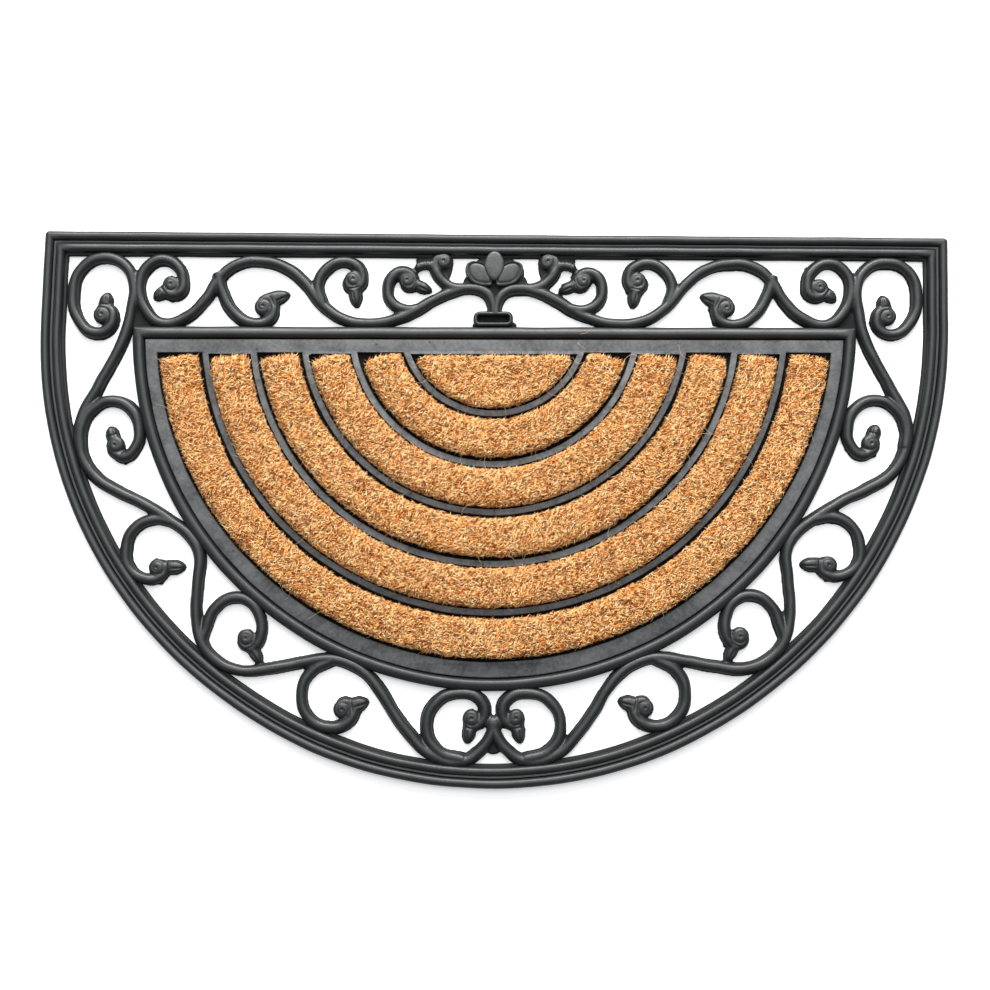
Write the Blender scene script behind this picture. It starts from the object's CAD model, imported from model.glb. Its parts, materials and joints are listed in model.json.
# %% [markdown]
# # A half-round coir doormat
# The real mat is one black rubber moulding with a scrolled openwork border, and six coir brush pads glued into
# its sunken bands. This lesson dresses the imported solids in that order: camera and light, the finishes, the
# rubber from the outside in, and last the pads with their fibres.

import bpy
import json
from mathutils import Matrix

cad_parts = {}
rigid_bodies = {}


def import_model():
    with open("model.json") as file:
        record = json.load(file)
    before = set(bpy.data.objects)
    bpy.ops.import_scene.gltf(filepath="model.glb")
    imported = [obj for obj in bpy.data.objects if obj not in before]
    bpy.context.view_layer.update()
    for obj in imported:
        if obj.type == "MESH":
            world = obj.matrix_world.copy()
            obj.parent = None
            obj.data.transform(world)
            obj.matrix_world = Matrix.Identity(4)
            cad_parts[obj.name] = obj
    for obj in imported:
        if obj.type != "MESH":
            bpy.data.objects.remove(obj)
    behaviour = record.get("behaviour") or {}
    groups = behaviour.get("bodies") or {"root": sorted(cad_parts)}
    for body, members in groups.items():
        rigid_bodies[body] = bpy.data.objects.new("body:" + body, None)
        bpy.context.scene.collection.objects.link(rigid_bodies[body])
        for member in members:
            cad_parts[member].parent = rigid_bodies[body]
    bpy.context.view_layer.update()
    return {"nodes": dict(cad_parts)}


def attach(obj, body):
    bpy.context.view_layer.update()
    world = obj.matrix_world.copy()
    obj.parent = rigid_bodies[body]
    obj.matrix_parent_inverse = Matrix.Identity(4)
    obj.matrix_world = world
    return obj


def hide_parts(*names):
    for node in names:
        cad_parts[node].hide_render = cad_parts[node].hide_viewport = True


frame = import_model()
print("packed nodes:", ", ".join(sorted(frame["nodes"])))

# %% Modules and units
import json
import math
import random
from collections import namedtuple

import bmesh
import bpy
import numpy as np
from mathutils import Matrix, Vector, noise

MM = 0.001
NOISE_SEED = 1795786146  # gives the same lumps and waviness each time
noise.seed_set(NOISE_SEED)
scene = bpy.context.scene


def placed(name, data):
    """A new object in the scene."""
    item = bpy.data.objects.new(name, data)
    scene.collection.objects.link(item)
    return item

# %% [markdown]
# ## Camera
# The mat was photographed from almost straight above. A camera at 1.2 m with a slight tilt gives the same
# lean of the edges, so every shape can be compared with the photograph in place.

# %% Camera
CAMERA_PLACE = (-0.00098, -0.11235, 1.2)
CAMERA_TILT, CAMERA_ROLL = 5.711, -0.242
CAMERA_LENS, CAMERA_SENSOR = 53.44, 36

camera_data = bpy.data.cameras.new("photo_camera")
camera_data.lens, camera_data.sensor_width = CAMERA_LENS, CAMERA_SENSOR
camera = placed("photo_camera", camera_data)
camera.matrix_world = (Matrix.Translation(CAMERA_PLACE) @ Matrix.Rotation(math.radians(CAMERA_TILT), 4, "X")
                       @ Matrix.Rotation(math.radians(CAMERA_ROLL), 4, "Z"))
scene.camera = camera
print("camera at", tuple(round(value, 3) for value in camera.location))

# %% [markdown]
# ## Light and floor
# Black rubber shows its shape by what it mirrors. One broad soft light stands beyond the straight edge, so every
# bead is bright on that side and dark on the other, and a wide one above keeps the white floor even. The floor
# looks white but throws back only part of the light, or it would fill the dark sides of every bead.

# %% Lights
SKY_COLOUR, SKY_STRENGTH = (0.93, 0.95, 1.0, 1), 0.31


def soft_light(name, place, size, energy):
    """An area light of size (width, depth) that faces the mat's middle."""
    data = bpy.data.lights.new(name, "AREA")
    data.shape = "RECTANGLE"
    data.size, data.size_y = size
    data.energy = energy
    light = placed(name, data)
    light.location = place
    light.rotation_mode = "QUATERNION"
    light.rotation_quaternion = Vector(place).to_track_quat("Z", "Y")


soft_light("key_softbox", (0.0, 2.1, 1.3), (2.6, 0.9), 130)
soft_light("overhead_softbox", (0.0, 0.85, 2.6), (3.6, 2.2), 60)

world = bpy.data.worlds.new("studio")
world.use_nodes = True
background = world.node_tree.nodes["Background"]
background.inputs["Color"].default_value = SKY_COLOUR
background.inputs["Strength"].default_value = SKY_STRENGTH
scene.world = world
scene.view_settings.view_transform = "Standard"
print("lights:", [item.name for item in bpy.data.lights])

# %% Node helpers
def fill(tree, made, inputs):
    """Sets or links a node's inputs: pairs of the input's name or number and a value or a socket."""
    for name, value in inputs:
        if isinstance(value, bpy.types.NodeSocket):
            tree.links.new(value, made.inputs[name])
        else:
            made.inputs[name].default_value = value


def add_node(tree, kind, inputs=(), **settings):
    """Adds a node with its settings and inputs."""
    made = tree.nodes.new(kind)
    for name, value in settings.items():
        setattr(made, name, value)
    fill(tree, made, inputs)
    return made


def new_finish(name):
    """A new material, its node tree and its Principled shader."""
    material = bpy.data.materials.new(name)
    material.use_nodes = True
    return material, material.node_tree, material.node_tree.nodes["Principled BSDF"]

# %% Floor
FLOOR_SIZE, FLOOR_DROP = 6, 0.0002

bm = bmesh.new()
bmesh.ops.create_grid(bm, x_segments=1, y_segments=1, size=FLOOR_SIZE)
floor_mesh = bpy.data.meshes.new("studio_floor")
bm.to_mesh(floor_mesh)
bm.free()
studio_floor = placed("studio_floor", floor_mesh)
studio_floor.location.z = -FLOOR_DROP

paper, tree, shader = new_finish("floor_paper")
seen = tree.nodes.new("ShaderNodeLightPath").outputs["Is Camera Ray"]
fill(tree, shader, [("Roughness", 0.9), ("Emission Color", (1, 1, 1, 1))])
for socket, thrown_back, shown in (("Base Color", 0.45, 0.93), ("Emission Strength", 0.0, 0.22)):
    choice = add_node(tree, "ShaderNodeMapRange", [("Value", seen), ("To Min", thrown_back), ("To Max", shown)])
    fill(tree, shader, [(socket, choice.outputs["Result"])])
floor_mesh.materials.append(paper)

# %% [markdown]
# ## Finishes
# Five effects are shared by several finishes, so each is a shader node group: mottling is the cloudy tone of
# moulded rubber, dust is what settles on faces that look up, grain is the fine unevenness of the skin, marks
# are the small dark spots of use, and low places are where nothing rubs the rubber and it stays dull and dark.
# Groups give out only masks and normals; each material keeps its own Principled shader.

# %% Masks and blends
COLOUR_A, COLOUR_B, COLOUR_RESULT = 6, 7, 2


def object_place(tree):
    """The object's own coordinates."""
    return tree.nodes.new("ShaderNodeTexCoord").outputs["Object"]


def object_noise(tree, scale, detail=4.0, roughness=0.55):
    """A noise on the object's own coordinates, with a scale per metre."""
    return add_node(tree, "ShaderNodeTexNoise", [("Vector", object_place(tree)), ("Scale", scale),
                                                 ("Detail", detail), ("Roughness", roughness)]).outputs["Fac"]


def own_value(tree, name):
    """A value stored on the mesh itself."""
    return add_node(tree, "ShaderNodeAttribute", attribute_name=name).outputs["Fac"]


def stretch_range(tree, value, low, high):
    """Spreads the values from low to high over 0 to 1."""
    return add_node(tree, "ShaderNodeMapRange",
                    [("Value", value), ("From Min", low), ("From Max", high)]).outputs["Result"]


def maths(tree, operation, *values):
    """An operation on two or three numbers."""
    return add_node(tree, "ShaderNodeMath", enumerate(values), operation=operation).outputs[0]


def blend(tree, share, first, second):
    """first where the share is 0, second where it is 1."""
    return add_node(tree, "ShaderNodeMix", [("Factor", share), ("A", first), ("B", second)]).outputs["Result"]


def blend_colours(tree, share, first, second, way="MIX"):
    """The same for colours, each a colour or another node's colour output."""
    return add_node(tree, "ShaderNodeMix", [("Factor", share), (COLOUR_A, first), (COLOUR_B, second)],
                    data_type="RGBA", blend_type=way).outputs[COLOUR_RESULT]

# %% Shared effects
def shared_effect(name, inputs, build, output="Mask", kind="NodeSocketFloat"):
    """A shader group with number inputs and one output, for which build makes the nodes."""
    tree = bpy.data.node_groups.new(name, "ShaderNodeTree")
    for socket, value in inputs.items():
        made = tree.interface.new_socket(socket, in_out="INPUT", socket_type="NodeSocketFloat")
        made.default_value = value
    tree.interface.new_socket(output, in_out="OUTPUT", socket_type=kind)
    given = tree.nodes.new("NodeGroupInput").outputs
    add_node(tree, "NodeGroupOutput", [(output, build(tree, given))])
    return tree


def mottling(tree, given):
    """Clouds of two sizes: 0 in the dark clouds and 1 in the light ones."""
    clouds = object_noise(tree, given["Cloud Scale"])
    specks = object_noise(tree, given["Speck Scale"], detail=3.0)
    return stretch_range(tree, blend(tree, 0.4, clouds, specks), 0.36, 0.64)


def settled_dust(tree, given):
    """Dust lies on faces that look up, in a broken layer."""
    facing = tree.nodes.new("ShaderNodeNewGeometry").outputs["Normal"]
    upwards = add_node(tree, "ShaderNodeSeparateXYZ", [("Vector", facing)]).outputs["Z"]
    level = stretch_range(tree, upwards, 0.55, 1.0)
    broken = stretch_range(tree, object_noise(tree, 160.0, detail=6.0, roughness=0.7), 0.34, 0.84)
    return maths(tree, "MULTIPLY", maths(tree, "MULTIPLY", level, broken), given["Amount"])


def skin_grain(tree, given):
    """The skin's fine unevenness, as a normal."""
    fine = object_noise(tree, given["Scale"], detail=3.0)
    return add_node(tree, "ShaderNodeBump", [("Distance", given["Depth"]), ("Height", fine)]).outputs["Normal"]


def round_marks(tree, given):
    """Small marks, each in a cell of its own: 1 inside a mark. Share says how many cells have one."""
    cells = add_node(tree, "ShaderNodeTexVoronoi",
                     [("Vector", object_place(tree)), ("Scale", given["Scale"])]).outputs
    chance = add_node(tree, "ShaderNodeSeparateColor", [("Color", cells["Color"])]).outputs["Red"]
    chosen = maths(tree, "LESS_THAN", chance, given["Share"])
    return maths(tree, "MULTIPLY", stretch_range(tree, cells["Distance"], 0.13, 0.05), chosen)


def low_places(tree, given):
    """0 above one height, and growing to 1 below the other."""
    height = add_node(tree, "ShaderNodeSeparateXYZ", [("Vector", object_place(tree))]).outputs["Z"]
    return stretch_range(tree, height, given["Clean Above"], given["Full Below"])


MOTTLING = shared_effect("mottling", {"Cloud Scale": 55.0, "Speck Scale": 420.0}, mottling)
DUST = shared_effect("dust", {"Amount": 0.5}, settled_dust)
GRAIN = shared_effect("grain", {"Scale": 900.0, "Depth": 0.00012}, skin_grain, "Normal", "NodeSocketVector")
MARKS = shared_effect("marks", {"Scale": 60.0, "Share": 0.3}, round_marks)
LOW_PLACES = shared_effect("low_places", {"Clean Above": 0.0045, "Full Below": 0.0025}, low_places)
print("shared effects:", ", ".join(group.name for group in (MOTTLING, DUST, GRAIN, MARKS, LOW_PLACES)))

# %% [markdown]
# ### Rubber
# The beads and scrolls come out of a polished mould and are nearly black with a soft sheen. The flat field and
# the ribs were blasted dull in the mould and hold dust, so they look grey. Shoes rub the ribs most, which the
# mesh's own wear value says.

# %% Rubber finishes
DEEP_BLACK, LOW_ROUGHNESS = (0.004, 0.004, 0.004, 1), 0.95


def effect(tree, group, **values):
    """Places a shared effect in a material, with this material's own values."""
    inputs = [(name.replace("_", " "), value) for name, value in values.items()]
    return add_node(tree, "ShaderNodeGroup", inputs, node_tree=group).outputs[0]


def rubber(name, dark, light, dusty, dust, gloss, grain=0.00008, low=(0.0045, 0.0028), worn=0.0, shine=0.5):
    """Moulded rubber: two mottled tones, a broken layer of dust and a grained skin. gloss is (dull, shiny).

    low is the heights between which it turns dull and black. worn is how much more dust lies where the
    mesh's own "wear" is 1; a worn rubber has marks too.
    """
    material, tree, shader = new_finish(name)
    mottled = effect(tree, MOTTLING, Cloud_Scale=48.0, Speck_Scale=380.0)
    amount = maths(tree, "MULTIPLY_ADD", own_value(tree, "wear"), worn, dust) if worn else dust
    tone = blend_colours(tree, mottled, dark, light)
    tone = blend_colours(tree, effect(tree, DUST, Amount=amount), tone, dusty)
    if worn:
        tone = blend_colours(tree, effect(tree, MARKS, Scale=70.0, Share=0.22), tone, dark)
    sheltered = effect(tree, LOW_PLACES, Clean_Above=low[0], Full_Below=low[1])
    spread = add_node(tree, "ShaderNodeMapRange",
                      [("Value", mottled), ("To Min", gloss[0]), ("To Max", gloss[1])])
    fill(tree, shader, [
        ("Base Color", blend_colours(tree, sheltered, tone, DEEP_BLACK)),
        ("Roughness", blend(tree, sheltered, spread.outputs["Result"], LOW_ROUGHNESS)),
        ("Specular IOR Level", shine),
        ("Normal", effect(tree, GRAIN, Scale=700.0, Depth=grain)),
    ])
    return material


MOULDED_RUBBER = rubber("moulded_rubber", (0.006, 0.008, 0.008, 1), (0.013, 0.015, 0.015, 1),
                        (0.043, 0.046, 0.046, 1), dust=0.15, gloss=(0.46, 0.36))
PALMETTE_RUBBER = rubber("palmette_rubber", (0.014, 0.016, 0.016, 1), (0.028, 0.030, 0.030, 1),
                         (0.09, 0.092, 0.092, 1), dust=0.5, gloss=(0.50, 0.38), grain=0.00018)
FIELD_RUBBER = rubber("field_rubber", (0.017, 0.019, 0.020, 1), (0.082, 0.087, 0.089, 1),
                      (0.26, 0.26, 0.255, 1), dust=0.05, gloss=(0.6, 0.45), grain=0.0002,
                      low=(0.0059, 0.0052), worn=0.9)
RECESS_RUBBER = rubber("recess_rubber", (0.003, 0.003, 0.003, 1), (0.008, 0.008, 0.008, 1),
                       (0.025, 0.025, 0.022, 1), dust=0.5, gloss=(0.95, 0.9), grain=0.0002,
                       low=(0.0045, 0.0005), shine=0.12)
print("rubber finishes ready")

# %% [markdown]
# ### Coir
# Coconut fibre runs from straw to rust. Each fibre carries a tone of its own, and how far along the fibre a
# point lies, so a fibre can be darker at its root, where it goes into the pile.

# %% Coir finishes
RUST, STRAW = (0.20, 0.052, 0.011, 1), (1.0, 0.77, 0.40, 1)
TONES_BETWEEN = ((0.15, (0.60, 0.185, 0.036, 1)), (0.4, (0.95, 0.385, 0.090, 1)), (0.7, (1.0, 0.56, 0.175, 1)))


def coir_tone(tree, value):
    """Rust, orange, gold and straw."""
    ramp = add_node(tree, "ShaderNodeValToRGB", [("Fac", value)])
    tones = ramp.color_ramp.elements
    tones[0].color, tones[1].color = RUST, STRAW
    for place, colour in TONES_BETWEEN:
        tones.new(place).color = colour
    return ramp.outputs["Color"]


def fibre_finish():
    """A fibre in its own tone, darker at its root."""
    material, tree, shader = new_finish("coir_fibre")
    root = stretch_range(tree, own_value(tree, "along"), 0.0, 0.50)
    shade = blend_colours(tree, root, (0.46, 0.25, 0.13, 1), (1, 1, 1, 1))
    colour = blend_colours(tree, 1.0, coir_tone(tree, own_value(tree, "tone")), shade, "MULTIPLY")
    fill(tree, shader, [("Base Color", colour), ("Roughness", 0.55), ("Specular IOR Level", 0.35)])
    return material


def pile_finish():
    """What shows between the fibres: darker coir, streaked at the fibres' own size."""
    material, tree, shader = new_finish("coir_pile")
    streaks = stretch_range(tree, object_noise(tree, 900.0, detail=2.0, roughness=0.6), 0.35, 0.75)
    colour = blend_colours(tree, streaks, (0.14, 0.038, 0.010, 1), (0.74, 0.29, 0.070, 1))
    bump = add_node(tree, "ShaderNodeBump", [("Distance", 0.0006), ("Height", streaks)])
    fill(tree, shader, [("Base Color", colour), ("Roughness", 0.9), ("Normal", bump.outputs["Normal"])])
    return material


COIR_FIBRE, COIR_PILE = fibre_finish(), pile_finish()
print("coir finishes ready")

# %% [markdown]
# ## How the mat lies
# The mould was drawn square and mirrored. The mat on the floor leans a few millimetres to one side, so each
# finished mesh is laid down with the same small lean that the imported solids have.

# %% Laying down and roughening
LEAN_FROM_Y, LEAN_SPAN = -0.0570, 0.2860
LEAN_SHIFT, LEAN_DROP = 0.0040, 0.0048
LEAN_CENTRE, LEAN_LEVEL = 0.7253, 0.3134
STRETCH_FROM_Y, STRETCH_SPAN, STRETCH = -0.158, 0.045, 0.0016
OUTER_RADIUS = 0.375


def points_of(mesh):
    points = np.empty(3 * len(mesh.vertices))
    mesh.vertices.foreach_get("co", points)
    return points.reshape(-1, 3)


def put_points(mesh, points):
    mesh.vertices.foreach_set("co", points.ravel())
    mesh.update()


def lay_down(mesh):
    """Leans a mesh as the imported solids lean."""
    points = points_of(mesh)
    share = np.clip((points[:, 1] - LEAN_FROM_Y) / LEAN_SPAN, 0, 1) ** 2
    points[:, 0] += LEAN_SHIFT * (share - LEAN_CENTRE)
    points[:, 1] -= LEAN_DROP * (points[:, 0] / OUTER_RADIUS * share + LEAN_LEVEL)
    points[:, 1] -= STRETCH * np.clip((STRETCH_FROM_Y - points[:, 1]) / STRETCH_SPAN, 0, 1)
    put_points(mesh, points)


def roughen(mesh, sideways, upwards, size):
    """Nudges points by a smooth noise of that size, so that no edge is ruler-straight. Low points stay down."""
    points = points_of(mesh)
    for point in points:
        push = noise.noise_vector(Vector(point) / size)
        point[0] += sideways * push.x
        point[1] += sideways * push.y
        if point[2] > MM:
            point[2] += upwards * push.z
    put_points(mesh, points)


def finish_piece(item, material, node, sharp=38):
    """Lays the mesh down and gives the piece its finish, body and node."""
    lay_down(item.data)
    item.data.materials.clear()
    item.data.materials.append(material)
    item.data.shade_smooth()
    item.data.set_sharp_from_angle(angle=math.radians(sharp))
    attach(item, "root")
    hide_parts(node)
    print(f"{item.name}: {sum(len(face.vertices) - 2 for face in item.data.polygons)} triangles")


def new_object(name, bm):
    """Puts a bmesh into the scene, with its faces outward."""
    bmesh.ops.recalc_face_normals(bm, faces=bm.faces)
    mesh = bpy.data.meshes.new(name)
    bm.to_mesh(mesh)
    bm.free()
    return placed(name, mesh)

# %% [markdown]
# ## Rim and panel bead
# Both are one moulded section that runs round the half circle and across the straight edge with mitred corners.
# The section's points are spun round the mat's centre, extruded up the short sides and then across the top,
# which is how a moulding is mitred; insets would pinch at the corners.

# %% Moulded sections
STRAIGHT_SIDE = 0.0775
ARC_Y = (OUTER_RADIUS - STRAIGHT_SIDE) / 2
PANEL_RADIUS, PANEL_STRAIGHT = 0.299, -0.00055


def bead(start, width, foot, far_foot, top, crest=0.5, steps=10):
    """A rounded bead across a section, in millimetres: from its foot up to its crest and down to its far foot."""
    points = []
    for step in range(steps + 1):
        turn = math.pi * step / steps
        base = foot if 2 * step <= steps else far_foot
        share = ((1 - math.cos(turn)) / 2) ** (math.log(crest) / math.log(0.5))
        points.append((start + width * share, base + (top - base) * math.sin(turn)))
    return points


RIM_SECTION = ([(0, 0)] + bead(0, 7.6, 5.0, 4.0, 8.6) + [(7.9, 5.6), (8.2, 6.4), (9.7, 6.4), (10.0, 6.1)]
               + bead(10.1, 7.3, 6.0, 3.4, 8.6) + [(17.9, 3.4), (19.0, 3.2), (19.5, 2.2), (19.5, 0)])
BEAD_SECTION = [(0, 0)] + bead(0, 10.1, 5.0, 2.8, 8.6, crest=0.58) + [(10.3, 2.6), (11.4, 2.6), (11.4, 0)]
CORNER_STEPS = 4


def moulded_frame(name, section, radius, straight, corner, spin_steps=170, side_steps=8, top_steps=60):
    """Carries a section round the half circle and across the straight edge, with mitred corners.

    The outermost corner is rounded by the radius corner, and each line further in by as much less.
    """
    bm = bmesh.new()
    inset_of = bm.verts.layers.float.new("inset")
    first = [bm.verts.new((radius - inset * MM, 0, z * MM)) for inset, z in section]
    for vert, (inset, _) in zip(first, section):
        vert[inset_of] = inset * MM

    def carried_on(ring, place):
        """Extrudes a ring of edges; place gives a new point's x and y from its mitre's x, y and rounding."""
        made = bmesh.ops.extrude_edge_only(bm, edges=ring)["geom"]
        for vert in (part for part in made if isinstance(part, bmesh.types.BMVert)):
            r, top = radius - vert[inset_of], straight - vert[inset_of]
            x = math.sqrt(r * r - top * top) if top < 0 else r
            vert.co.x, vert.co.y = place(x, top, max(corner - vert[inset_of], 0.0))
        return [part for part in made if isinstance(part, bmesh.types.BMEdge)]

    widest = max(inset for inset, _ in section) * MM
    start = min(math.asin((straight - widest) / (radius - widest)), 0.0)
    edges = [bm.edges.new(pair) for pair in zip(first, first[1:] + first[:1])]
    bmesh.ops.rotate(bm, verts=first, matrix=Matrix.Rotation(start, 3, "Z"))
    spun = bmesh.ops.spin(bm, geom=first + edges, cent=(0, 0, 0), axis=(0, 0, -1), angle=math.pi + 2 * start,
                          steps=spin_steps)
    last = [part for part in spun["geom_last"] if isinstance(part, bmesh.types.BMEdge)]
    climbs = side_steps if straight > 0 else 1
    for ring in (edges, last):
        side = math.copysign(1, ring[0].verts[0].co.x)
        for step in range(1, climbs + 1):
            ring = carried_on(ring, lambda x, top, rounding: (side * x, (top - rounding) * step / climbs))
        for step in range(1, CORNER_STEPS + 1):
            back, up = (1 - wave(math.pi / 2 * step / CORNER_STEPS) for wave in (math.cos, math.sin))
            ring = carried_on(ring, lambda x, top, rounding: (side * (x - rounding * back), top - rounding * up))
        if side > 0:
            right = ring
    for step in range(1, top_steps + 1):
        right = carried_on(right, lambda x, top, rounding: ((x - rounding) * (1 - 2 * step / top_steps), top))
    bmesh.ops.remove_doubles(bm, verts=bm.verts, dist=0.02 * MM)
    bmesh.ops.translate(bm, verts=bm.verts, vec=(0, ARC_Y, 0))
    bm.verts.layers.float.remove(inset_of)
    print(f"{name}: {sum(not edge.is_manifold for edge in bm.edges)} open edges")
    return new_object(name, bm)


rim = moulded_frame("rim", RIM_SECTION, OUTER_RADIUS, STRAIGHT_SIDE, 3.6 * MM)
roughen(rim.data, 0.35 * MM, 0.15 * MM, 0.03)
finish_piece(rim, MOULDED_RUBBER, "rubber_mat", sharp=60)
panel_bead = moulded_frame("panel_bead", BEAD_SECTION, PANEL_RADIUS, PANEL_STRAIGHT, 2.0 * MM)
roughen(panel_bead.data, 0.3 * MM, 0.15 * MM, 0.03)
finish_piece(panel_bead, MOULDED_RUBBER, "rubber_mat", sharp=60)

# %% [markdown]
# ## Field, ribs and sunken bands
# Inside the bead lies a flat plate with six sunken bands; what is left between them are the ribs. A filled curve
# with holes is the quickest way to such a plate: the bands' outlines are the holes, and the curve's own bevel
# rounds every edge as the mould did.

# %% Outlines
RIB_Y = ARC_Y + 0.0035
RIB_RADII = (0.0770, 0.1177, 0.1585, 0.1992, 0.2400)
RIB_WIDTH = 0.0042
RECESS_RADIUS = 0.2790
RECESS_TOP_Y = ARC_Y - 0.0222
EDGES = RIB_RADII + (RECESS_RADIUS + RIB_WIDTH / 2,)
ARC_STEP, PANEL_STEPS = 0.004, 200


def lower_arc(radius, centre_y, first, steps):
    """Points on a circle, from the angle first at the right round the bottom to the left."""
    turns = [first - (math.pi + 2 * first) * index / steps for index in range(steps + 1)]
    return [(radius * math.cos(turn), centre_y + radius * math.sin(turn)) for turn in turns]


def rib_arc(radius, top_y):
    """The part of a rib's circle that lies below top_y."""
    first = math.asin((top_y - RIB_Y) / radius)
    return lower_arc(radius, RIB_Y, first, round((math.pi + 2 * first) * radius / ARC_STEP))


def band_outline(index):
    """The sunken band outside rib number index - 1, or the sunken middle for index 0."""
    outline = rib_arc(EDGES[index] - RIB_WIDTH / 2, RECESS_TOP_Y)
    if index > 0:
        outline += reversed(rib_arc(EDGES[index - 1] + RIB_WIDTH / 2, RECESS_TOP_Y))
    return outline


def panel_outline(inset):
    """The half-round panel's outline, set in from its edge."""
    radius = PANEL_RADIUS - inset
    return lower_arc(radius, ARC_Y, math.asin((PANEL_STRAIGHT - inset) / radius), PANEL_STEPS)

# %% Plates
FIELD_Z, FLOOR_Z = 6.0 * MM, 2.2 * MM
WELD = 0.01 * MM


def real_mesh(item):
    """The mesh that an item's modifiers or its curve's bevel make."""
    bpy.context.view_layer.update()
    return bpy.data.meshes.new_from_object(item.evaluated_get(bpy.context.evaluated_depsgraph_get()))


def flat_curve(name, **settings):
    """A curve in the plane with its settings."""
    curve = bpy.data.curves.new(name, "CURVE")
    curve.dimensions = "2D"
    for key, value in settings.items():
        setattr(curve, key, value)
    return curve


def add_line(curve, places, closed=True):
    """Adds a line of straight pieces to a curve."""
    spline = curve.splines.new("POLY")
    spline.points.add(len(places) - 1)
    for point, (x, y) in zip(spline.points, places):
        point.co = (x, y, 0, 1)
    spline.use_cyclic_u = closed
    return spline


def add_surface(bm, curve):
    """Adds the surface that a curve's bevel makes."""
    item = placed(curve.name, curve)
    mesh = real_mesh(item)
    bm.from_mesh(mesh)
    bpy.data.objects.remove(item)
    bpy.data.meshes.remove(mesh)


def filled_plate(name, outlines, low, high, rounding):
    """A flat plate from outlines, the first the outside and the others holes, with rounded edges."""
    curve = flat_curve(name, fill_mode="BOTH", extrude=(high - low) / 2 - rounding, bevel_depth=rounding,
                       bevel_resolution=2, offset=-rounding)
    for outline in outlines:
        add_line(curve, outline)
    bm = bmesh.new()
    add_surface(bm, curve)
    bmesh.ops.remove_doubles(bm, verts=bm.verts, dist=WELD)
    bmesh.ops.translate(bm, verts=bm.verts, vec=(0, 0, (low + high) / 2))
    return new_object(name, bm)


field = filled_plate("field_and_ribs", [panel_outline(10.5 * MM)] + [band_outline(k) for k in range(6)],
                     0.6 * MM, FIELD_Z, 1.0 * MM)
recess = filled_plate("recess_floor", [panel_outline(8 * MM)], 0, FLOOR_Z, 0.2 * MM)
finish_piece(recess, RECESS_RUBBER, "rubber_mat")

# %% [markdown]
# Feet wear a mat in its middle and near the door. So the ribs are most worn in the middle, the field near the
# straight edge, and neither much at the sides.

# %% Wear
points = points_of(field.data)
from_middle = np.hypot(points[:, 0], points[:, 1] - RIB_Y)
on_ribs = (from_middle < RECESS_RADIUS - 10 * MM) & (points[:, 1] < RECESS_TOP_Y + 0.5 * MM)
height = np.clip((points[:, 1] + 0.1) / 0.15, 0, 1)
aside = np.clip(np.abs(points[:, 0]) / 0.25, 0, 1)
rib_wear = np.clip((0.30 - from_middle) / 0.2, 0, 1) * (0.55 + 0.45 * height)
field_wear = height * np.clip(1.6 * (1 - aside), 0.2, 1.1)
wear = np.where(on_ribs, rib_wear, field_wear)
field.data.attributes.new("wear", "FLOAT", "POINT").data.foreach_set("value", wear)
roughen(field.data, 0.35 * MM, 0.0, 0.02)
finish_piece(field, FIELD_RUBBER, "rubber_mat", sharp=50)
print(f"wear: up to {wear[on_ribs].max():.2f} on the ribs, {wear[~on_ribs].max():.2f} on the field")

# %% [markdown]
# ## Scrolls
# Every scroll is a round-topped strip that follows a smooth line and curls into a ball with a leaf tip. Curves
# with a moulded section make the strips; spheres make the balls and leaves. One voxel remesh then melts each
# half of the border into a single skin, so that strips run into each other with soft throats, as rubber does
# in a mould. Insets or booleans would leave a hard seam at each joint.

# %% Lines of the scrolls
# Bends are points that a strip's middle line swings through, in millimetres: across from the mirror line, and
# up from the mat's middle.
FOOT_OF_VINE = ((0, -176), (2, -184), (12, -197), (27, -205), (51, -199), (68, -183), (81, -166), (91, -150))
QUARTER_OF_VINE = ((101, -138), (114, -129), (131, -124), (156, -127), (178, -131), (205, -133), (225, -124),
                   (236, -110), (241, -90))
SIDE_OF_VINE = ((240, -59), (239, -40), (246, -25), (262, -12), (288, 4), (307, 13), (327, 26), (338, 45),
                (340, 68), (326, 99), (306, 140))
END_OF_VINE = ((301, 164), (300, 183), (307, 198), (323, 205), (343, 197), (350, 174), (344, 153),
               (331, 143), (320, 146), (316, 155), (321, 164))
MIDDLE_OF_TOP_VINE = ((1, 158), (1.5, 168), (7, 177), (20, 181), (35, 178), (51, 171), (64, 163), (79, 156),
                      (102, 151), (123, 154), (141, 165))
WAVE_OF_TOP_VINE = ((160, 187), (173, 197), (194, 203), (215, 200), (229, 189), (240, 171), (256, 156))
END_OF_TOP_VINE = ((275, 151), (289, 162), (295, 183), (290, 197), (276, 204), (263, 197), (259, 186),
                   (261, 177), (268, 175))

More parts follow.
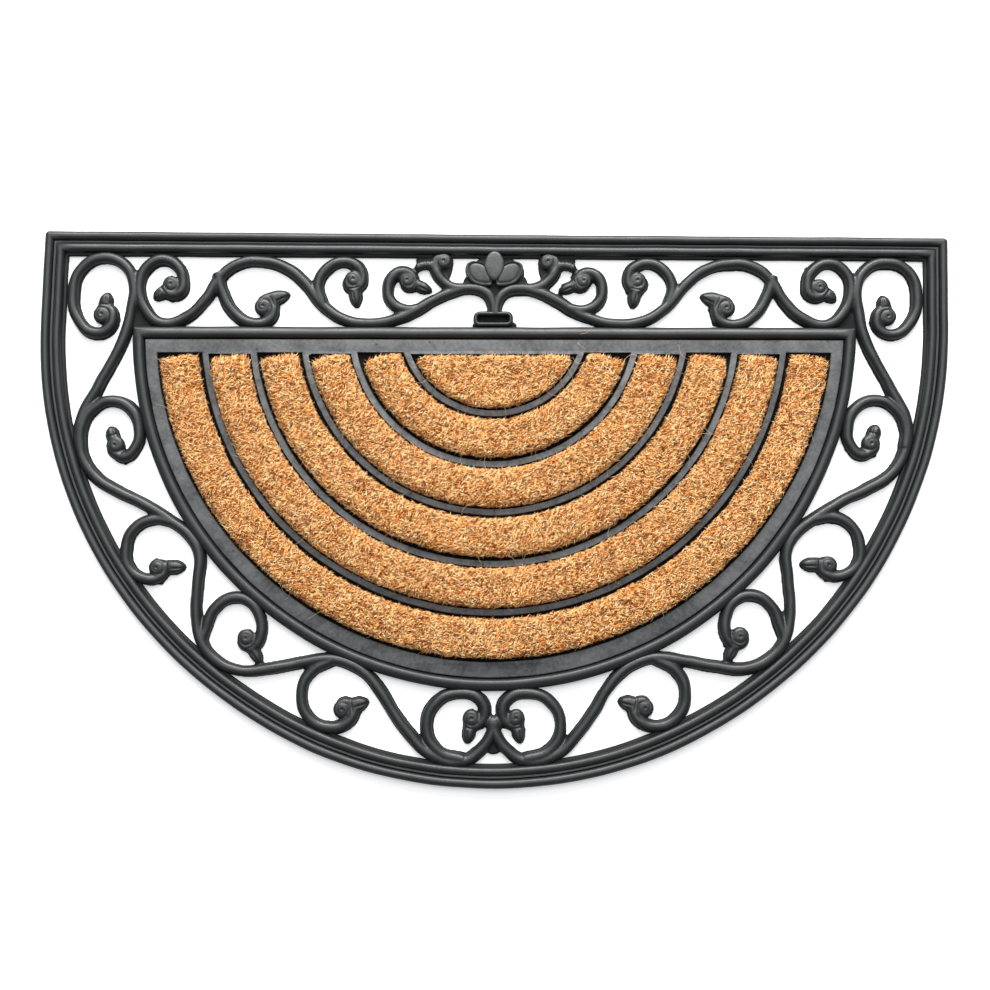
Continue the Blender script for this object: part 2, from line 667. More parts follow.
Scroll = namedtuple("Scroll", "name ball eye tip tip_width bends leaf_root", defaults=(None,))
SCROLLS = (
    Scroll("long_vine", 6.8, (325, 158), (321.5, 176.5), 11,
           FOOT_OF_VINE + QUARTER_OF_VINE + SIDE_OF_VINE + END_OF_VINE),
    Scroll("top_vine", 6.5, (269, 183), (283, 171.5), 10,
           MIDDLE_OF_TOP_VINE + WAVE_OF_TOP_VINE + END_OF_TOP_VINE),
    Scroll("corner_scroll", 7.0, (191.5, 165), (170.5, 175.5), 11.5,
           ((231, 193), (226, 177), (216, 160), (199, 151), (186, 155), (183, 164), (186, 171)), (189, 170.5)),
    Scroll("tall_scroll", 6.5, (118, 188), (114, 165), 10,
           ((143, 167), (147, 184), (140, 197), (127, 203), (115, 199), (110, 190), (113, 182), (120, 181))),
    Scroll("heart_scroll", 6.3, (73, 187.5), (53, 178.5), 9,
           ((62, 164), (74, 163), (85.5, 169), (89, 180), (85, 191), (76, 195), (68, 190), (68, 183))),
    Scroll("crown_scroll", 6.3, (43.4, 203.6), (43.4, 206), 8,
           ((25, 181), (34.5, 181.5), (43.5, 187), (48.8, 194), (50.2, 201))),
    Scroll("side_scroll", 7.0, (310, 50.5), (315.5, 66), 10.5,
           ((338, 47), (339, 62), (331, 79), (315, 87), (298, 80), (291, 62), (294, 48), (303, 41),
            (310, 44))),
    Scroll("low_side_scroll", 6.6, (273, -49.5), (250.5, -49), 11,
           ((262, -12), (277, -10), (293, -18), (299, -32), (296, -50), (283, -58.5), (272, -57.5), (267, -51.5))),
    Scroll("quarter_scroll", 6.8, (200, -107), (188, -128), 9,
           ((237, -112), (233, -99), (226, -83), (211, -74), (196, -79), (189, -91), (188, -103),
            (192, -112), (199, -114))),
    Scroll("foot_scroll", 6.6, (122, -164), (101, -158), 11.5,
           ((131, -125), (148, -135), (155, -151), (149, -170), (134, -178), (119, -175), (113, -167),
            (116, -160))),
    Scroll("bottom_scroll", 6.4, (18, -171.5), (21.5, -191), 10,
           ((25, -203), (44, -197), (54, -178), (46, -159), (27, -152), (12, -156), (7, -165), (11, -175),
            (18, -177))),
)

# Flat webs that tie balls, leaves and crossings together: centre, length, width, turn and height.
Web = namedtuple("Web", "x y length width turn height")
WEBS = (
    Web(51, 205, 32, 15, 0, 3.0),
    Web(40.5, 198, 10, 26, 10, 3.0),
    Web(0, -189, 18, 22, 0, 3.0),
    Web(8.5, 150, 21, 8.5, 0, 3.0),
    Web(0, 181.5, 12, 22, 0, 3.0),
    Web(13.5, 187.3, 27, 16, 0, 3.0),
    Web(12.5, 194.8, 24, 22, 0, 3.2),
    Web(7, 203, 18, 14, 0, 3.0),
    Web(291.5, 153.5, 20, 18, 0, 2.8),
    Web(66.0, 196.6, 5, 6.5, 0, 4.2),
)
KNOB_RIDGES = ((53.4, 200.2), (56.2, 200.6), (59.0, 200.5), (61.8, 199.9), (64.4, 198.8))
KNOBS = tuple(Web(x, y, 4.8, 9.0, 0, 7.6) for x, y in KNOB_RIDGES) + (Web(0, -176, 14, 14, 0, 8.2),)

# %% Strips, balls and leaves
STRIP_HALF_WIDTH, STRIP_WALL, STRIP_TOP = 4.7, 2.6, 8.2
STRIP_STEPS = 12
STRIP_ARCH = [math.pi * step / STRIP_STEPS for step in range(STRIP_STEPS + 1)]
STRIP_SECTION = [(STRIP_HALF_WIDTH, 0)] + [
    (STRIP_HALF_WIDTH * math.cos(turn), STRIP_WALL + (STRIP_TOP - STRIP_WALL) * math.sin(turn))
    for turn in STRIP_ARCH] + [(-STRIP_HALF_WIDTH, 0)]
FLASH_SECTION = [(5.2, 0), (5.1, 1.2), (4.6, 1.7), (-4.6, 1.7), (-5.1, 1.2), (-5.2, 0)]
BALL_TOP, BALL_DOME, BUD_DOME, DOME_FOOT = 8.0, 0.5, 0.8, 2.2
STRIP_RESOLUTION = 10
COIL_TURNS = ((50, 0.76), (105, 0.48))
FLASH_HEIGHT = 1.9


def section_curve(name, section):
    """A closed section for curves to carry along, from points in millimetres."""
    curve = flat_curve(name)
    add_line(curve, [(x * MM, y * MM) for x, y in section])
    return placed(name, curve)


def add_smooth_line(curve, places, widths):
    """Adds a line that swings through its points."""
    spline = curve.splines.new("BEZIER")
    spline.bezier_points.add(len(places) - 1)
    for point, place, wide in zip(spline.bezier_points, places, widths):
        point.co = place
        point.handle_left_type = point.handle_right_type = "AUTO"
        point.radius = wide


def add_strip(bm, bends, section, side, widths):
    """Sweeps a section along a smooth line through the bends and adds it to bm."""
    curve = flat_curve("strip", resolution_u=STRIP_RESOLUTION, bevel_mode="OBJECT", bevel_object=section,
                       use_fill_caps=True)
    add_smooth_line(curve, [(side * x * MM, y * MM, 0) for x, y in bends], widths)
    add_surface(bm, curve)


def add_domed(bm, x, y, length, width, turn, top, foot, shape):
    """A squashed sphere that stands in the floor. shape moves a point of the round sphere, radius 1."""
    sphere = bmesh.ops.create_uvsphere(bm, u_segments=24, v_segments=14, radius=1)["verts"]
    for vert in sphere:
        shape(vert.co)
    bmesh.ops.scale(bm, verts=sphere, vec=(length / 2 * MM, width / 2 * MM, (top - foot) * MM))
    for vert in sphere:
        vert.co.z = max(vert.co.z, -foot * MM)
    bmesh.ops.rotate(bm, verts=sphere, matrix=Matrix.Rotation(math.radians(turn), 3, "Z"))
    bmesh.ops.translate(bm, verts=sphere, vec=(x * MM, y * MM, foot * MM))


def add_boss(bm, x, y, length, width, top, dome=1.0):
    """A domed oval. The lower dome is, the flatter is its top."""
    def shape(place):
        place.z = math.copysign(abs(place.z) ** dome, place.z)

    add_domed(bm, x, y, length, width, 0, top, DOME_FOOT, shape)


def add_bud(bm, root, tip, side, width, top, foot=DOME_FOOT):
    """A leaf tip: a domed oval from its root to its tip, which keeps its width towards the root."""
    def shape(place):
        if place.x < 0:
            across = math.hypot(place.y, place.z)
            place.y, place.z = (value / max(across, 0.2) for value in (place.y, place.z))
        else:
            place.y *= 1 - 0.28 * place.x
        place.z = math.copysign(abs(place.z) ** BUD_DOME, place.z)

    along, middle = tip - root, (root + tip) / 2
    turn = math.degrees(math.atan2(along.y, side * along.x))
    add_domed(bm, side * middle.x, middle.y, along.length, width, turn, top, foot, shape)


def add_web(bm, x, y, length, width, turn, height, corners=20):
    """A flat oval patch of rubber."""
    disc = bmesh.ops.create_cone(bm, cap_ends=True, segments=corners, radius1=MM / 2, radius2=0.46 * MM,
                                 depth=height * MM)["verts"]
    bmesh.ops.scale(bm, verts=disc, vec=(length, width, 1))
    bmesh.ops.rotate(bm, verts=disc, matrix=Matrix.Rotation(math.radians(turn), 3, "Z"))
    bmesh.ops.translate(bm, verts=disc, vec=(x * MM, y * MM, height * MM / 2))


def curl_of(scroll, side=1):
    """1 where a scroll coils in anticlockwise and -1 where it coils clockwise."""
    before, last = (Vector((side * x, y)) - Vector((side * scroll.eye[0], scroll.eye[1]))
                    for x, y in scroll.bends[-2:])
    return math.copysign(1, before.x * last.y - before.y * last.x)


def curled_in(scroll):
    """A scroll's bends with two more that coil in to its eye, and the strip's width at each."""
    eye = Vector(scroll.eye)
    bends = [Vector(bend) for bend in scroll.bends]
    last = bends[-1] - eye
    for turn, share in COIL_TURNS:
        bends.append(eye + share * (Matrix.Rotation(math.radians(curl_of(scroll) * turn), 2) @ last))
    return bends, [min(1.0, 0.62 + 0.038 * (bend - eye).length) for bend in bends]


def add_scroll_end(bm, scroll, side, draw):
    """The ball at a scroll's eye, its leaf tip, and the ragged flash that the mould leaves under both."""
    eye, tip = Vector(scroll.eye), Vector(scroll.tip)
    across = 2 * scroll.ball + 1.6
    add_boss(bm, side * eye.x, eye.y, across, across, BALL_TOP, BALL_DOME)
    spots = [(eye, 4.5, 7.5)] * 2 + [(Vector(bend), 1.0, 10.4) for bend in scroll.bends[-4:]]
    if (tip - eye).length > scroll.ball:
        root = Vector(scroll.leaf_root) if scroll.leaf_root else eye.lerp(tip, 0.3)
        add_bud(bm, root, tip, side, scroll.tip_width, 7.4)
        add_bud(bm, root, tip + (tip - eye).normalized(), side, scroll.tip_width + 2.2, 1.8, foot=0.8)
        spots += [(eye.lerp(tip, 0.45), 3.0, 7.5), (eye.lerp(tip, 0.7), 2.2, 7.5)]
    for middle, spread, size in spots:
        turn = draw.uniform(0, 360)
        at = middle + spread * Vector((math.cos(turn), math.sin(turn)))
        size *= draw.uniform(0.9, 1.2)
        add_web(bm, side * at.x, at.y, size, size * draw.uniform(0.85, 1.15), turn, FLASH_HEIGHT, corners=5)

# %% Melt the border into one skin
VOXEL, KEPT_SHARE, BORDER_SEED = 0.8 * MM, 0.29, 17
FLOOR_LAYER, PRESSED_ABOVE = 0.8 * MM, 4 * MM
DIMPLE_RADIUS, DIMPLE_DEPTH = 1.5 * MM, 1.2 * MM
FURROW_WIDTH, FURROW_DEPTH = 0.9 * MM, 0.40 * MM


def modified(item, kind, **settings):
    """The mesh that a modifier makes of the item's own."""
    modifier = item.modifiers.new(kind.lower(), kind)
    for name, value in settings.items():
        setattr(modifier, name, value)
    mesh = real_mesh(item)
    item.modifiers.clear()
    return mesh


def change_mesh(mesh, change):
    """Makes a change to a mesh as a bmesh."""
    bm = bmesh.new()
    bm.from_mesh(mesh)
    change(bm)
    bm.to_mesh(mesh)
    bm.free()


def number_by_place(bm):
    """Numbers points and faces by where they lie. Which fibre grows on which face depends on the numbers."""
    for parts, place in ((bm.verts, lambda vert: tuple(vert.co)),
                         (bm.faces, lambda face: tuple(face.calc_center_median()))):
        parts.index_update()
        ranks = {part.index: rank for rank, part in enumerate(sorted(parts, key=place))}
        parts.sort(key=lambda part: ranks[part.index])
        parts.index_update()


def smooth(bm):
    bmesh.ops.smooth_vert(bm, verts=bm.verts, factor=0.5, use_axis_x=True, use_axis_y=True, use_axis_z=True)


def melted(item, voxel, rounds):
    """Remeshes an item into one skin and smooths it in some rounds."""
    item.data = modified(item, "REMESH", mode="VOXEL", voxel_size=voxel)
    change_mesh(item.data, number_by_place)
    change_mesh(item.data, lambda bm: [smooth(bm) for _ in range(rounds)])
    return item


def press_eye(points, centre, start, way):
    """Presses a scroll's eye: a small dimple, and a faint furrow that coils in to it from a start angle."""
    dx, dy = points[:, 0] - centre[0], points[:, 1] - centre[1]
    away = np.hypot(dx, dy)
    turn = (way * (np.arctan2(dy, dx) - start)) % (2 * math.pi)
    dimple = DIMPLE_DEPTH * np.clip(1 - (away / DIMPLE_RADIUS) ** 2, 0, 1)
    coil = (6.2 - 4.2 * turn / (2 * math.pi)) * MM
    furrow = FURROW_DEPTH * np.clip(1 - ((away - coil) / FURROW_WIDTH) ** 2, 0, 1)
    points[:, 2] -= np.maximum(dimple, furrow) * (points[:, 2] > PRESSED_ABOVE)


def press_crease(points, start, end, depth, width=1.0 * MM):
    """Presses a straight crease from start to end, which fades at both."""
    way = end - start
    share = ((points[:, 0] - start[0]) * way.x + (points[:, 1] - start[1]) * way.y) / way.length_squared
    beside = np.abs((points[:, 0] - start[0]) * way.y - (points[:, 1] - start[1]) * way.x) / way.length
    fade = np.clip(4 * share * (1 - share), 0, 1) * ((share > 0) & (share < 1))
    points[:, 2] -= depth * fade * np.clip(1 - (beside / width) ** 2, 0, 1) * (points[:, 2] > PRESSED_ABOVE)


def press_scroll_end(points, scroll, side):
    """Presses a scroll's eye, a crease along its leaf and one across the leaf's neck."""
    eye, tip, last = (Vector((side * x, y)) * MM for x, y in (scroll.eye, scroll.tip, scroll.bends[-1]))
    last -= eye
    way = curl_of(scroll, side)
    press_eye(points, eye, math.atan2(last.y, last.x) - way, way)
    if (tip - eye).length > scroll.ball * MM:
        across = (tip - eye).orthogonal().normalized() * MM
        press_crease(points, eye.lerp(tip, 0.42) + 1.4 * side * across, tip + 1.0 * side * across, 0.9 * MM)
        neck = eye + (tip - eye).normalized() * (scroll.ball + 1.3) * MM
        reach = 0.55 * scroll.tip_width * across
        press_crease(points, neck - reach, neck + reach, 1.0 * MM)


def border_half(name, side):
    """One half of the border: strips, balls, leaves and webs melted together, then its eyes and creases."""
    draw = random.Random(BORDER_SEED + side)
    bm = bmesh.new()
    for scroll in SCROLLS:
        bends, widths = curled_in(scroll)
        plain = [wide * (1.0 + draw.uniform(-0.04, 0.04)) for wide in widths]
        ragged = [wide * (1.0 + draw.uniform(-0.05, 0.16)) for wide in widths]
        add_strip(bm, bends, strip_section, side, plain)
        add_strip(bm, bends, flash_section, side, ragged)
        add_scroll_end(bm, scroll, side, draw)
    for web in WEBS:
        add_web(bm, side * web.x, web.y, web.length, web.width, side * web.turn, web.height)
    for knob in KNOBS:
        add_boss(bm, side * knob.x, knob.y, knob.length, knob.width, knob.height)
    item = melted(new_object(name, bm), VOXEL, 2)
    points = points_of(item.data)
    for scroll in SCROLLS:
        press_scroll_end(points, scroll, side)
    points[:, 2] = np.where(points[:, 2] < FLOOR_LAYER, 0, points[:, 2])
    put_points(item.data, points)
    item.data = modified(item, "DECIMATE", ratio=KEPT_SHARE)
    roughen(item.data, 0.35 * MM, 0.25 * MM, 0.012)
    finish_piece(item, MOULDED_RUBBER, "rubber_mat", sharp=180)


strip_section = section_curve("strip_section", STRIP_SECTION)
flash_section = section_curve("flash_section", FLASH_SECTION)
border_half("openwork_left", -1)
border_half("openwork_right", 1)
for guide in (strip_section, flash_section):
    bpy.data.objects.remove(guide)

# %% [markdown]
# ## Palmette and buckle
# In the middle of the straight edge three leaves stand over a small buckle. Each leaf is a disc drawn out to a
# point, then inset in steps: up over a raised lip, down into a groove and up again. The buckle is a rounded
# block whose top is inset into a slot.

# %% Palmette
Petal = namedtuple("Petal", "x y length width turn foot point aside steps")
FOLDED = ((1.0, 5.8), (0.985, 7.2), (0.95, 8.0), (0.90, 8.2), (0.86, 7.8), (0.82, 6.8), (0.79, 6.7), (0.74, 7.3),
          (0.62, 7.7), (0.35, 8.0), (0.10, 8.1))
PLAIN = ((1.0, 6.2), (0.97, 7.8), (0.90, 8.6), (0.72, 9.0), (0.40, 9.2), (0.10, 9.2))
PALMETTE_X = -1.0
PETALS = (Petal(PALMETTE_X + 12.3, 192.1, 27.5, 18.0, 41.5, 1.5, 0.04, 5.0, FOLDED),
          Petal(PALMETTE_X - 12.3, 192.1, 27.5, 18.0, 138.5, 1.5, 0.04, -5.0, FOLDED),
          Petal(PALMETTE_X, 199.4, 25.8, 17.2, 90, 0.9, 0.14, 0.0, PLAIN))


def add_petal(bm, petal):
    """A leaf: a circle drawn out to a narrow foot and a point, raised in steps that each draw in a little.

    aside moves the inner steps to one side, so that the raised border is broad on the other side.
    """
    outline = bmesh.ops.create_circle(bm, cap_ends=True, segments=44, radius=0.5)["verts"]
    for vert in outline:
        foot, far = max(-vert.co.x, 0.0), max(vert.co.x, 0.0)
        vert.co.y *= 1 - petal.foot * foot ** 1.6 - 4 * petal.point * far ** 2
    top = outline[0].link_faces[0]
    middle = Vector((petal.x, petal.y, 0)) * MM
    place = Matrix.Translation(middle) @ Matrix.Rotation(math.radians(petal.turn), 4, "Z")
    bmesh.ops.scale(bm, verts=outline, vec=(petal.length * MM, petal.width * MM, 1))
    bmesh.ops.transform(bm, matrix=place, verts=outline)
    sideways = place.to_3x3() @ Vector((0, petal.aside * MM, 0))
    reached, below = 1.0, 0.0
    for share, height in petal.steps:
        old = top
        raised = bmesh.ops.extrude_face_region(bm, geom=[old])["geom"]
        top = next(part for part in raised if isinstance(part, bmesh.types.BMFace) and len(part.verts) > 4)
        bmesh.ops.scale(bm, verts=top.verts, vec=(share / reached, share / reached, 1),
                        space=Matrix.Translation(-middle))
        bmesh.ops.translate(bm, verts=top.verts, vec=sideways * (reached - share))
        bmesh.ops.translate(bm, verts=top.verts, vec=(0, 0, (height - below) * MM))
        middle += sideways * (reached - share)
        if below:
            bmesh.ops.delete(bm, geom=[old], context="FACES_ONLY")
        reached, below = share, height


bm = bmesh.new()
for petal in PETALS:
    add_petal(bm, petal)
print(f"palmette: {sum(not edge.is_manifold for edge in bm.edges)} open edges")
finish_piece(new_object("palmette", bm), PALMETTE_RUBBER, "rubber_mat", sharp=50)

# %% Buckle
BUCKLE_SIZE, BUCKLE_CORNER = Vector((33.0, 13.0, 5.6)), 5.4
BUCKLE_PLACE = Vector((-1.1, 154.8, 2.8))
BUCKLE_STEPS = ((0.3, 1.0), (0.45, 0.8), (0.6, 0.5), (0.7, 0.15), (0.6, -0.1), (0.55, -0.5), (0.4, -1.0),
                (0.3, -1.8), (0.1, -2.9))

bm = bmesh.new()
block = bmesh.ops.create_cube(bm, size=MM)["verts"]
bmesh.ops.scale(bm, verts=block, vec=BUCKLE_SIZE)
bmesh.ops.translate(bm, verts=block, vec=BUCKLE_PLACE * MM)
upright = [edge for edge in bm.edges if abs(edge.verts[0].co.z - edge.verts[1].co.z) > MM]
bmesh.ops.bevel(bm, geom=upright, offset=BUCKLE_CORNER * MM, segments=6, profile=0.5, affect="EDGES", material=-1)
top = max(bm.faces, key=lambda face: face.calc_center_median().z)
for inset, rise in BUCKLE_STEPS:
    bmesh.ops.inset_region(bm, faces=[top], thickness=inset * MM, depth=rise * MM, use_even_offset=True)
finish_piece(new_object("buckle", bm), MOULDED_RUBBER, "rubber_mat", sharp=50)

# %% [markdown]
# ## Coir pads
# Each pad is a tufted brush: a lumpy body and thousands of fibres that lie over each other. The body is swept
# round its band, remeshed and pushed about by noise. The fibres are thin spindles, bent in four ways and
# scattered over the body by Geometry Nodes, because modelling them one by one would take a long list of points.

# %% Pad bodies
PAD_SIDE_GAP, PAD_END_GAP = 0.0034, 0.0046
PAD_BASE_Z, PAD_TOP_Z, PAD_VOXEL = 3.3 * MM, 12.2 * MM, 2.4 * MM
PAD_SECTION = ((-1.0, 0), (1.0, 0), (1.0, 0.68), (0.92, 0.92), (0.60, 1.0), (-0.60, 1.0), (-0.92, 0.92),
               (-1.0, 0.68))
PAD_END_ROUND, PAD_CORNER, PAD_STEP = 0.0050, 6 * MM, 6 * MM
PAD_END_WIDTHS = ((0.0, 0.78), (0.25, 0.91), (0.6, 0.98), (1.0, 1.0))


def band_body(index):
    """The body of the pad between two ribs."""
    inner = EDGES[index - 1] + RIB_WIDTH / 2 + PAD_SIDE_GAP
    outer = EDGES[index] - RIB_WIDTH / 2 - PAD_SIDE_GAP
    half, radius = (outer - inner) / 2, (inner + outer) / 2
    height = PAD_TOP_Z - PAD_BASE_Z
    section = section_curve("pad_section", [(x * half / MM, y * height / MM) for x, y in PAD_SECTION])
    first = math.asin((RECESS_TOP_Y - PAD_END_GAP - RIB_Y) / radius)
    last = -math.pi - first
    round_off = PAD_END_ROUND / radius
    steps = round(math.pi * radius / PAD_STEP)
    sweep = last - first + 2 * round_off
    stations = [(first - share * round_off, wide) for share, wide in PAD_END_WIDTHS]
    stations += [(first - round_off + sweep * step / steps, 1.0) for step in range(1, steps)]
    stations += [(last + share * round_off, wide) for share, wide in reversed(PAD_END_WIDTHS)]
    curve = flat_curve("pad_line", bevel_mode="OBJECT", bevel_object=section, use_fill_caps=True)
    places = [(radius * math.cos(angle), RIB_Y + radius * math.sin(angle)) for angle, _ in stations]
    for point, (_, wide) in zip(add_line(curve, places, closed=False).points, stations):
        point.radius = wide
    bm = bmesh.new()
    add_surface(bm, curve)
    bpy.data.objects.remove(section)
    bmesh.ops.translate(bm, verts=bm.verts, vec=(0, 0, PAD_BASE_Z))
    bmesh.ops.remove_doubles(bm, verts=bm.verts, dist=WELD)
    return new_object(f"coir_band_{index}_body", bm)


def rounded_ends(arc, cut):
    """Rounds both corners between an arc and the straight line across its ends."""
    points = [Vector(point) for point in arc]
    first, last = points[0], points[-1]
    kept = [point for point in points if min((point - first).length, (point - last).length) > cut]
    across = (last - first).normalized() * cut

    def bend(start, corner, end):
        return [start.lerp(corner, share).lerp(corner.lerp(end, share), share)
                for share in (0, 0.25, 0.5, 0.75, 1)]

    return bend(first + across, first, kept[0]) + kept[1:-1] + bend(kept[-1], last, last - across)


def middle_body():
    """The half-round pad inside the smallest rib."""
    radius = EDGES[0] - RIB_WIDTH / 2 - PAD_SIDE_GAP
    outline = rounded_ends(rib_arc(radius, RECESS_TOP_Y - PAD_END_GAP), PAD_CORNER)
    return filled_plate("coir_middle_body", [outline], PAD_BASE_Z, PAD_TOP_Z, 1.8 * MM)


def lumpy(item):
    """Remeshes a pad's body and pushes it about, in lumps of two sizes."""
    melted(item, PAD_VOXEL, 1)
    roughen(item.data, 1.3 * MM, 0.45 * MM, 0.012)
    roughen(item.data, 0.4 * MM, 0.3 * MM, 0.006)
    points = points_of(item.data)
    points[:, 2] = np.maximum(points[:, 2], PAD_BASE_Z)
    put_points(item.data, points)
    return item

# %% One fibre, bent
def fibre(name, bend_up, bend_side):
    """A three-sided spindle along X, one unit long and centred, with its middle off the straight line."""
    bm = bmesh.new()
    cone = bmesh.ops.create_cone(bm, cap_ends=True, segments=3, radius1=0.5, radius2=0.0, depth=0.5)
    bmesh.ops.remove_doubles(bm, verts=bm.verts, dist=0.001)
    end = min(bm.faces, key=lambda face: face.calc_center_median().z)
    root = bmesh.ops.poke(bm, faces=[end])["verts"][0]
    root.co.z -= 0.5
    bmesh.ops.translate(bm, verts=bm.verts, vec=(0, 0, 0.75))
    bmesh.ops.rotate(bm, verts=bm.verts, matrix=Matrix.Rotation(math.radians(90), 3, "Y"))
    layer = bm.verts.layers.float.new("along")
    for vert in bm.verts:
        vert[layer] = vert.co.x
        if 0.25 < vert.co.x < 0.75:
            vert.co.z += bend_up
            vert.co.y += bend_side
    bmesh.ops.translate(bm, verts=bm.verts, vec=(-0.4, 0, 0))
    item = new_object(name, bm)
    item.hide_render = True
    item.hide_viewport = True
    return item

# %% Scatter the fibres
FIBRE_SPREAD, FIBRE_SKEW = 1.1, 0.45
FIBRE_DENSITY = 1.02e6
FIBRE_LENGTH, FIBRE_WIDTH, FIBRE_THICK = 7.6 * MM, 0.64 * MM, 0.46 * MM
FIBRES_ABOVE = 7 * MM
FIBRE_BENDS = ((1.2, 1.4), (1.9, -0.8), (0.7, -2.0), (1.5, 0.3))


def random_between(tree, low, high, seed):
    return add_node(tree, "FunctionNodeRandomValue", [(2, low), (3, high), (8, seed)],
                    data_type="FLOAT").outputs[1]


def cloud_between(tree, scale, detail, reach):
    """A smooth noise about 0, as strong as reach."""
    cloud = add_node(tree, "ShaderNodeTexNoise", [("Scale", scale), ("Detail", detail)]).outputs[0]
    return maths(tree, "MULTIPLY", maths(tree, "SUBTRACT", cloud, 0.5), reach)


def pile_nodes(fibres, seed):
    """Scatters spindles over the faces of a pad's body, each turned, tilted and toned by chance."""
    tree = bpy.data.node_groups.new("coir_pile_nodes", "GeometryNodeTree")
    for way in ("INPUT", "OUTPUT"):
        tree.interface.new_socket("Geometry", in_out=way, socket_type="NodeSocketGeometry")
    body = tree.nodes.new("NodeGroupInput").outputs[0]
    place = add_node(tree, "ShaderNodeSeparateXYZ", [(0, tree.nodes.new("GeometryNodeInputPosition").outputs[0])])
    high = add_node(tree, "FunctionNodeCompare", [(0, place.outputs[2]), (1, FIBRES_ABOVE)],
                    data_type="FLOAT", operation="GREATER_THAN")
    points = add_node(tree, "GeometryNodeDistributePointsOnFaces",
                      [("Mesh", body), ("Selection", high.outputs[0]), ("Density", FIBRE_DENSITY), ("Seed", seed)])
    flip = add_node(tree, "FunctionNodeRandomValue", [("Probability", 0.5), ("Seed", seed + 1)],
                    data_type="BOOLEAN")
    half_turn = add_node(tree, "GeometryNodeSwitch", [(0, flip.outputs[3]), (1, 0.0), (2, math.pi)],
                         input_type="FLOAT").outputs[0]
    own_turn = random_between(tree, FIBRE_SKEW - FIBRE_SPREAD, FIBRE_SKEW + FIBRE_SPREAD, seed + 2)
    yaw = maths(tree, "ADD", maths(tree, "ADD", cloud_between(tree, 38.0, 1.0, 2.2), own_turn), half_turn)
    pitch = random_between(tree, -0.42, 0.06, seed + 3)
    roll = random_between(tree, -0.7, 0.7, seed + 4)
    turned = add_node(tree, "ShaderNodeCombineXYZ", [(0, roll), (1, pitch), (2, yaw)])
    length = random_between(tree, 0.6 * FIBRE_LENGTH, 1.35 * FIBRE_LENGTH, seed + 5)
    width = random_between(tree, 0.75 * FIBRE_WIDTH, 1.3 * FIBRE_WIDTH, seed + 6)
    sized = add_node(tree, "ShaderNodeCombineXYZ", [(0, length), (1, width), (2, FIBRE_THICK)])
    kinds = add_node(tree, "GeometryNodeCollectionInfo",
                     [("Collection", fibres), ("Separate Children", True), ("Reset Children", True)])
    spread = add_node(tree, "GeometryNodeInstanceOnPoints",
                      [("Points", points.outputs["Points"]), ("Instance", kinds.outputs[0]),
                       ("Pick Instance", True), ("Rotation", turned.outputs[0]), ("Scale", sized.outputs[0])])
    tone = maths(tree, "ADD", cloud_between(tree, 60.0, 2.0, 0.25), random_between(tree, -0.2, 1.25, seed + 7))
    toned = add_node(tree, "GeometryNodeStoreNamedAttribute",
                     [("Geometry", spread.outputs[0]), ("Name", "tone"), ("Value", tone)], data_type="FLOAT",
                     domain="INSTANCE")
    real = add_node(tree, "GeometryNodeRealizeInstances", [(0, toned.outputs[0])])
    add_node(tree, "NodeGroupOutput", [(0, real.outputs[0])])
    return tree


def fibre_kinds():
    """A collection of fibres, each bent in its own way."""
    group = bpy.data.collections.new("fibre_kinds")
    scene.collection.children.link(group)
    for index, (up, side) in enumerate(FIBRE_BENDS):
        item = fibre(f"fibre_{index}", up, side)
        scene.collection.objects.unlink(item)
        group.objects.link(item)
    return group

# %% [markdown]
# A rib's wall stops the fibres that reach over it, so they bend along it and leave a dark gap, and a few get
# further than the others. The fibres' points past a limit are drawn back towards it, the more the further
# they reach.

# %% Hold the fibres between the ribs
WALL_GAP, WALL_GIVE, END_GIVE = 3.2 * MM, 1.0 * MM, 0.4 * MM
RAGGED, RAGGED_SIZE = 0.9 * MM, 2.0 * MM
FIBRE_POINTS, FIBRE_REACH = 5, 2.6 * MM


def soft_limit(values, limit):
    """Values past the limit come closer to it the further they reach."""
    past = np.maximum(values - limit, 0)
    return np.minimum(values, limit) + WALL_GIVE * (1 - np.exp(-past / WALL_GIVE))


def held_by_walls(points, of_body, index):
    """Holds a pad's points between its walls. The first points are the body's, the others the fibres'."""
    fibre_count = (len(points) - of_body) // FIBRE_POINTS
    reach = np.zeros(len(points))
    reach[of_body:] = np.repeat(FIBRE_REACH * np.random.default_rng(index).random(fibre_count) ** 4, FIBRE_POINTS)
    ragged = RAGGED * np.array([noise.noise(Vector(point) / RAGGED_SIZE) for point in points])
    dx, dy = points[:, 0], points[:, 1] - RIB_Y
    away = np.hypot(dx, dy)
    bent = soft_limit(away, EDGES[index] - RIB_WIDTH / 2 - WALL_GAP + ragged + reach)
    if index:
        bent = -soft_limit(-bent, reach - EDGES[index - 1] - RIB_WIDTH / 2 - WALL_GAP - ragged)
    points[:, 0] *= bent / away
    points[:, 1] = RIB_Y + dy * bent / away
    points[:, 1] = soft_limit(points[:, 1], RECESS_TOP_Y - WALL_GAP + END_GIVE + ragged + reach)


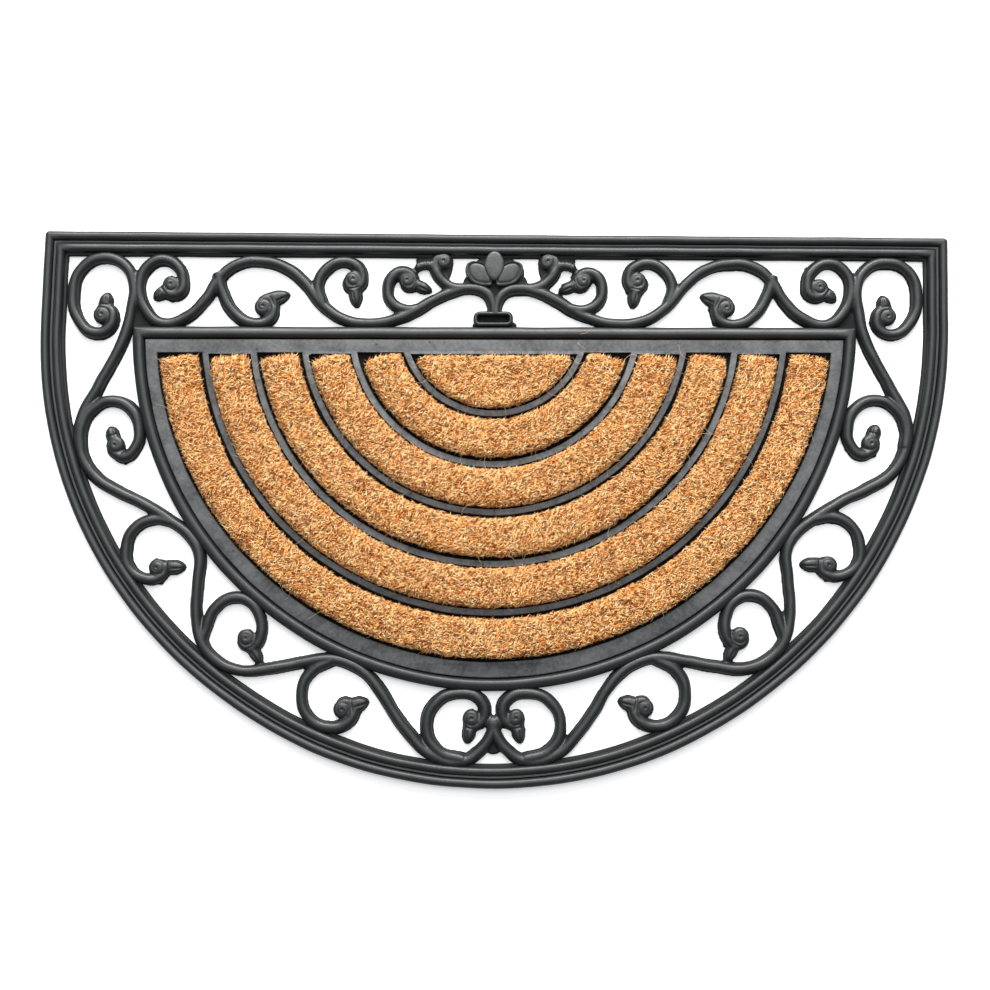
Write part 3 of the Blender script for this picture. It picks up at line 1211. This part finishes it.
def with_pile(body, fibres, cad_node, index):
    """Joins a pad's body and its pile into one piece."""
    pile = modified(body, "NODES", node_group=pile_nodes(fibres, 10 * index + 3))
    name = cad_node + "_pile"
    bm = bmesh.new()
    bm.from_mesh(body.data)
    of_body = len(bm.verts)
    for face in bm.faces:
        face.material_index = 1
    bm.from_mesh(pile)
    mesh = bpy.data.meshes.new(name)
    bm.to_mesh(mesh)
    bm.free()
    bpy.data.objects.remove(body)
    points = points_of(mesh)
    held_by_walls(points, of_body, index)
    put_points(mesh, points)
    lay_down(mesh)
    pad = placed(name, mesh)
    mesh.materials.append(COIR_FIBRE)
    mesh.materials.append(COIR_PILE)
    mesh.shade_smooth()
    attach(pad, "root")
    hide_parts(cad_node)
    print(f"{name}: {sum(len(face.vertices) - 2 for face in mesh.polygons)} triangles")


fibres = fibre_kinds()
for index in range(6):
    body = lumpy(band_body(index) if index else middle_body())
    with_pile(body, fibres, f"coir_band_{index}" if index else "coir_middle", index)
for item in list(fibres.objects):
    bpy.data.objects.remove(item)

# %% [markdown]
# ## Loose fibres
# A used mat sheds: single long fibres lie across the ribs and the field. They are thin bent curves that start
# at a pad's edge.

# %% Loose fibres
LOOSE_COUNT, LOOSE_SEED = 90, 5
LOOSE_HEIGHTS = (11.5, 10.5, 8.6, 7.2)
LOOSE_RADIUS = 0.13 * MM


def loose_fibres(count, seed):
    """Thin bent lines that start on a pad near its outer wall and sink towards their end."""
    draw = random.Random(seed)
    curve = flat_curve("loose_fibres", bevel_depth=LOOSE_RADIUS, bevel_resolution=0, resolution_u=3,
                       use_fill_caps=True)
    curve.dimensions = "3D"
    for _ in range(count):
        index = draw.randrange(6)
        radius = EDGES[index] - RIB_WIDTH / 2 - 3.5 * MM
        turn = draw.uniform(-math.pi + 0.12, -0.12)
        outwards = Vector((math.cos(turn), math.sin(turn), 0))
        start = Vector((0, RIB_Y, 0)) + radius * outwards
        sideways = Vector((-outwards.y, outwards.x, 0)) * draw.uniform(-1.2, 1.2)
        heading = (outwards + sideways).normalized()
        bend = Vector((-heading.y, heading.x, 0)) * draw.uniform(-0.5, 0.5)
        length = (4.5 + 13 * draw.random() ** 3) * MM
        shares = [step / 3 for step in range(4)]
        places = []
        for share, high in zip(shares, LOOSE_HEIGHTS):
            at = start + heading * length * share + bend * length * share * (1 - share) * 2
            places.append((at.x, at.y, high * MM))
        add_smooth_line(curve, places, [1.0 - 0.6 * share for share in shares])
    bm = bmesh.new()
    add_surface(bm, curve)
    return new_object("loose_fibres", bm)


def straw_finish():
    """Single fibres are paler than the pile."""
    material, tree, shader = new_finish("loose_fibre")
    tone = stretch_range(tree, object_noise(tree, 90.0), 0.35, 0.65)
    colour = blend_colours(tree, tone, (0.48, 0.27, 0.12, 1), (0.86, 0.62, 0.36, 1))
    fill(tree, shader, [("Base Color", colour), ("Roughness", 0.6)])
    return material


finish_piece(loose_fibres(LOOSE_COUNT, LOOSE_SEED), straw_finish(), "coir_middle")
